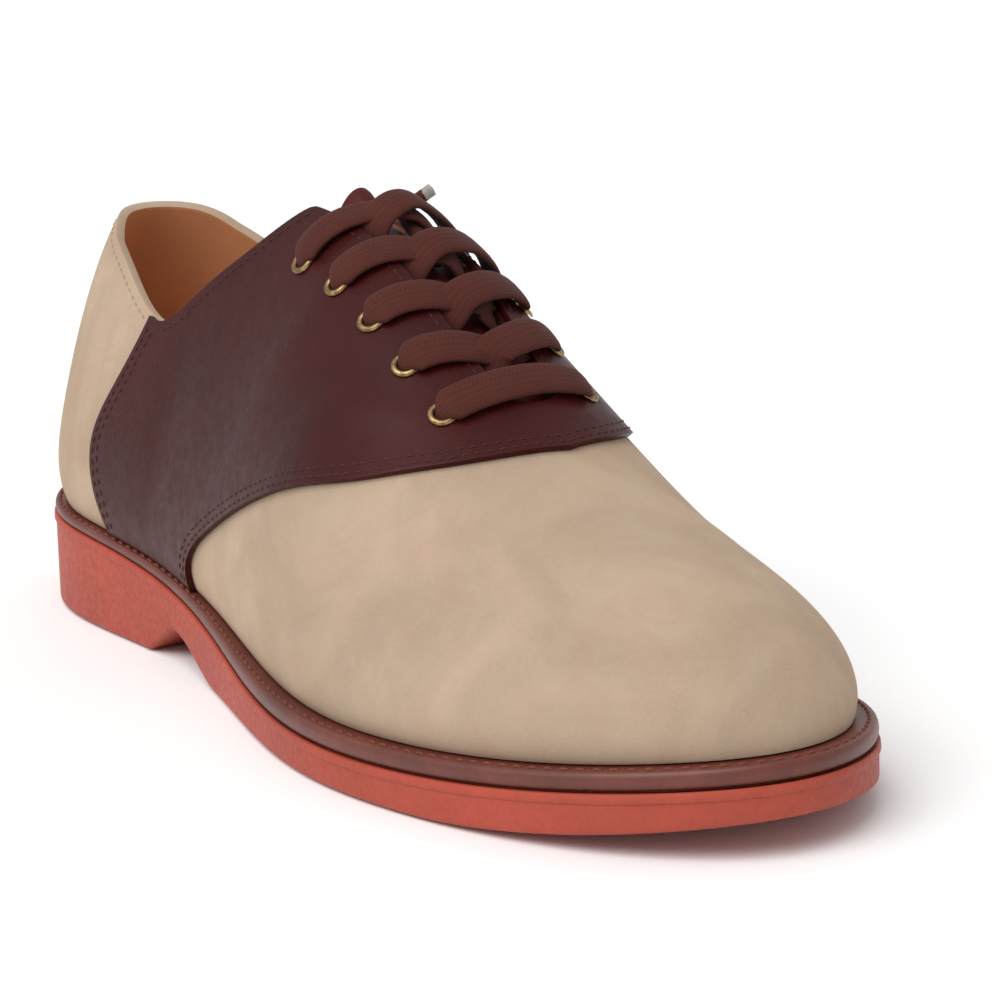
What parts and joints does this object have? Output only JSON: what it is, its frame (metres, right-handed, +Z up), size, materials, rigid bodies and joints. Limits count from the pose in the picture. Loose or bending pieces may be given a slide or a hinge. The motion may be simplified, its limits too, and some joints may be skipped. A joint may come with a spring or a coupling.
{
  "type": "saddle shoe",
  "caption": "Right plain-toe saddle oxford: tan nubuck upper, oxblood leather saddle, flat brown laces in brass eyelets, stitched brown welt and a brick-red rubber sole with heel.",
  "frame": {"origin": "under the middle of the shoe's bounding box, on the floor", "axes": "+X to the wearer's right, which is the outer side of this right shoe; +Y from heel to toe; +Z up"},
  "size_m": [0.1052, 0.301, 0.1134],
  "materials": {
    "nubuck": "tan nubuck with a short matt nap, mottled where it has been brushed",
    "oxblood_leather": "smooth oxblood leather with a soft polish and fine grain",
    "tongue_leather": "smooth oxblood leather, little polish",
    "sock_leather": "natural tan lining leather, matt",
    "welt_leather": "waxed mahogany welt with a row of stitches along its top",
    "rubber": "brick-red moulded rubber, satin",
    "antique_brass": "small eyelets of dark antique brass",
    "lace_cloth": "flat woven brown lace"
  },
  "bodies": {
    "root": {"outsole": "rubber", "welt": "welt_leather", "insole": "sock_leather", "upper": "nubuck", "saddle": "oxblood_leather", "tongue": "tongue_leather", "eyelet_outer_1": "antique_brass", "eyelet_outer_2": "antique_brass", "eyelet_outer_3": "antique_brass", "eyelet_outer_4": "antique_brass", "eyelet_outer_5": "antique_brass", "eyelet_inner_1": "antique_brass", "eyelet_inner_2": "antique_brass", "eyelet_inner_3": "antique_brass", "eyelet_inner_4": "antique_brass", "eyelet_inner_5": "antique_brass", "lace_bar": "lace_cloth", "lace_crossing_1": "lace_cloth", "lace_crossing_2": "lace_cloth", "lace_crossing_3": "lace_cloth", "lace_crossing_4": "lace_cloth", "lace_end": "lace_cloth"}
  },
  "joints": []
}
